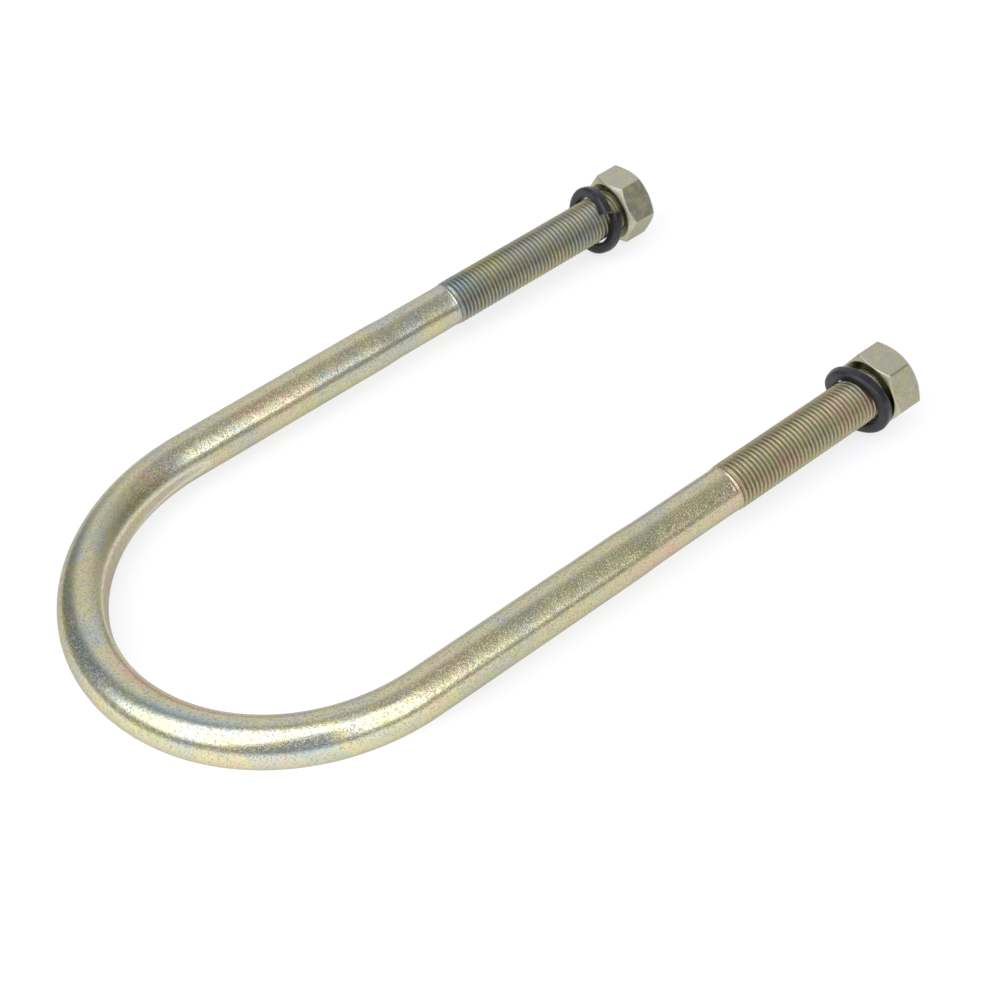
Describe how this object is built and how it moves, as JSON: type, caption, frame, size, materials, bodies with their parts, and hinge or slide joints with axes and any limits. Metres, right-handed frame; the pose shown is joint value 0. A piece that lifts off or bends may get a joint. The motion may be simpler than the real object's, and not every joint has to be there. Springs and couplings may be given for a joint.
{
  "type": "u-bolt",
  "caption": "Round-bend U-bolt whose threaded legs carry hex nuts over split spring washers, used to clamp a round tube or axle against a plate.",
  "frame": {"origin": "centre of the saddle pressed into the inside of the bend, on the plane that the rod's centre line lies in", "axes": "+X from the bend towards the threaded tips, +Y towards the left leg, +Z the normal of the plane of the U"},
  "size_m": [0.2137, 0.1272, 0.02],
  "materials": {
    "zinc_rod": "yellow zinc passivate over cold-bent steel, cloudy olive gold",
    "zinc_nut": "yellow zinc passivate, smoother and a little paler than the rod",
    "black_washer": "satin black oxide on spring steel"
  },
  "bodies": {
    "u_bolt": {"u_bolt": "zinc_rod"},
    "left_washer": {"left_spring_washer": "black_washer"},
    "left_nut": {"left_nut": "zinc_nut"},
    "right_washer": {"right_spring_washer": "black_washer"},
    "right_nut": {"right_nut": "zinc_nut"}
  },
  "joints": [
    {"name": "left_nut_travel", "type": "slide", "parent": "u_bolt", "child": "left_washer", "axis": [1, 0, 0], "range_m": [-0.05334, 0.00381]},
    {"name": "left_nut_turn", "type": "hinge", "parent": "left_washer", "child": "left_nut", "pos_m": [0.14585, 0.0529, 0], "axis": [1, 0, 0], "range_deg": [-15125, 1085]},
    {"name": "right_nut_travel", "type": "slide", "parent": "u_bolt", "child": "right_washer", "axis": [1, 0, 0], "range_m": [-0.04445, 0.00635]},
    {"name": "right_nut_turn", "type": "hinge", "parent": "right_washer", "child": "right_nut", "pos_m": [0.14275, -0.0529, 0], "axis": [1, 0, 0], "range_deg": [-12605, 1805]}
  ],
  "couplings": [
    {"joint": "left_nut_turn", "follows": "left_nut_travel", "rad_per_m": 4947.4},
    {"joint": "right_nut_turn", "follows": "right_nut_travel", "rad_per_m": 4947.4}
  ]
}
